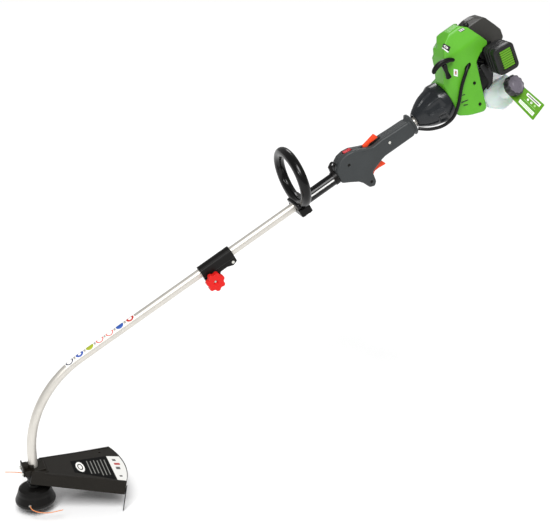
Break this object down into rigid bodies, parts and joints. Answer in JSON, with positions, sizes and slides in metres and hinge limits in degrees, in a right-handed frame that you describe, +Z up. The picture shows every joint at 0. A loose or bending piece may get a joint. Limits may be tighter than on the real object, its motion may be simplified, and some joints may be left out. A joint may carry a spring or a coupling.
{
  "type": "petrol line trimmer",
  "caption": "Petrol brush cutter with a curved split shaft, loop handle, rear handle with trigger, guard, line head and rear engine.",
  "frame": {"origin": "centre of the harness eye above the front of the rear handle", "axes": "+Z up with the head's axis vertical, +X towards the engine, the straight boom climbing at 30 degrees, +Y along the harness eye to the far side"},
  "size_m": [1.4592, 0.2578, 1.2091],
  "materials": {
    "silver": "brushed, satin",
    "steel": "brushed",
    "zinc": "zinc plated",
    "black_plastic": "moulded",
    "gloss_black": "glossy",
    "charcoal_plastic": "moulded, fine grain",
    "guard_plastic": "moulded",
    "green_plastic": "satin",
    "red_plastic": "satin",
    "orange_red": "satin",
    "grey_brown": "moulded",
    "tank_plastic": "translucent",
    "cast_aluminium": "as cast",
    "rubber_black": "matt",
    "line_orange": "drawn line",
    "ceramic_white": "glazed",
    "card": "printed card"
  },
  "bodies": {
    "boom": {"air_filter_case": "black_plastic", "cable_conduit": "rubber_black", "carburettor": "cast_aluminium", "case_screws": "zinc", "clutch_housing": "charcoal_plastic", "connecting_rod": "steel", "coupler_shell_far": "black_plastic", "coupler_shell_near": "black_plastic", "crankcase": "cast_aluminium", "cylinder": "cast_aluminium", "cylinder_cover": "grey_brown", "engine_shroud": "green_plastic", "fuel_tank": "tank_plastic", "grip_sleeve": "gloss_black", "handle_pins": "steel", "hang_tag": "card", "hanger_clamp": "black_plastic", "loop_bolts": "zinc", "loop_clamp": "black_plastic", "loop_handle": "gloss_black", "muffler": "steel", "piston": "cast_aluminium", "plug_boot": "rubber_black", "rear_handle_far": "charcoal_plastic", "rear_handle_near": "charcoal_plastic", "spark_plug": "ceramic_white", "upper_tube": "silver"},
    "lower_boom": {"lower_tube": "silver", "flexible_drive_cable": "steel", "head_bearing_housing": "black_plastic", "head_bearings": "steel", "guard_shield": "guard_plastic", "guard_clamp": "cast_aluminium", "guard_bolts": "zinc", "line_cutter_blade": "steel"},
    "line_head": {"output_arbor": "steel", "head_upper_housing": "black_plastic", "head_lower_cover": "black_plastic", "line_tail_near": "line_orange", "line_tail_far": "line_orange", "bump_spring": "steel"},
    "bump_spool": {"spool": "black_plastic", "bump_knob": "black_plastic"},
    "clamp_knob": {"coupler_knob": "red_plastic", "knob_bolt": "zinc"},
    "locating_button": {"locating_button": "zinc"},
    "drive_line": {"upper_drive_shaft": "steel", "clutch_drum": "steel"},
    "trigger": {"throttle_trigger": "orange_red"},
    "lockout": {"throttle_lockout": "orange_red"},
    "switch": {"stop_switch": "red_plastic"},
    "engine_rotor": {"crankshaft": "steel", "flywheel": "cast_aluminium", "clutch_shoes": "steel"},
    "recoil_pulley": {"starter_pulley": "black_plastic"},
    "pull_handle": {"starter_handle": "black_plastic"},
    "cap": {"fuel_cap": "black_plastic"},
    "choke": {"choke_lever": "black_plastic"},
    "filter_lid": {"air_filter_cover": "black_plastic", "air_filter_insert": "green_plastic"}
  },
  "joints": [
    {"name": "boom_detach", "type": "slide", "parent": "boom", "child": "lower_boom", "axis": [-0.866, 0, -0.5], "range_m": [0, 0.06]},
    {"name": "head_spin", "type": "hinge", "parent": "lower_boom", "child": "line_head", "pos_m": [-0.82954, 0, -0.78416], "axis": [0, 0, 1], "continuous": true},
    {"name": "bump_feed", "type": "slide", "parent": "line_head", "child": "bump_spool", "axis": [0, 0, 1], "range_m": [0, 0.006], "stiffness_N_per_m": 900, "springref_m": -0.002},
    {"name": "clamp_knob_turn", "type": "hinge", "parent": "boom", "child": "clamp_knob", "pos_m": [-0.33456, -0.02, -0.27052], "axis": [0, -1, 0], "continuous": true},
    {"name": "button_press", "type": "slide", "parent": "lower_boom", "child": "locating_button", "axis": [0, -1, 0], "range_m": [0, 0.0035], "stiffness_N_per_m": 1500, "springref_m": -0.002},
    {"name": "drive_spin", "type": "hinge", "parent": "boom", "child": "drive_line", "pos_m": [0.17648, 0, 0.06032], "axis": [0.866, 0, 0.5], "continuous": true},
    {"name": "trigger_squeeze", "type": "hinge", "parent": "boom", "child": "trigger", "pos_m": [0.10858, 0, -0.01006], "axis": [0, -1, 0], "range_deg": [0, 14], "stiffness_Nm_per_rad": 0.5, "springref_deg": -11.46},
    {"name": "lockout_press", "type": "hinge", "parent": "boom", "child": "lockout", "pos_m": [0.09052, 0, 0.03321], "axis": [0, 1, 0], "range_deg": [0, 9], "stiffness_Nm_per_rad": 0.4, "springref_deg": -11.46},
    {"name": "stop_switch_rock", "type": "hinge", "parent": "boom", "child": "switch", "pos_m": [0.04417, 0, 0.0255], "axis": [0, 1, 0], "range_deg": [0, 14]},
    {"name": "crank_spin", "type": "hinge", "parent": "boom", "child": "engine_rotor", "pos_m": [0.34969, 0, 0.16032], "axis": [0.866, 0, 0.5], "continuous": true},
    {"name": "pulley_spin", "type": "hinge", "parent": "boom", "child": "recoil_pulley", "pos_m": [0.32804, 0, 0.14782], "axis": [0.866, 0, 0.5], "range_deg": [0, 1020]},
    {"name": "starter_pull", "type": "slide", "parent": "boom", "child": "pull_handle", "axis": [-0.4768, -0.3011, 0.8258], "range_m": [0, 0.5], "stiffness_N_per_m": 4, "springref_m": -0.15},
    {"name": "cap_turn", "type": "hinge", "parent": "boom", "child": "cap", "pos_m": [0.48127, -0.09, 0.19241], "axis": [0.1544, -0.8424, 0.5162], "continuous": true},
    {"name": "choke_swing", "type": "hinge", "parent": "boom", "child": "choke", "pos_m": [0.46113, -0.04, 0.2593], "axis": [0.866, 0, 0.5], "range_deg": [0, 60]},
    {"name": "filter_cover_off", "type": "slide", "parent": "boom", "child": "filter_lid", "axis": [0, -1, 0], "range_m": [0, 0.03]}
  ],
  "couplings": [
    {"joint": "pulley_spin", "follows": "starter_pull", "rad_per_m": 35.6}
  ]
}
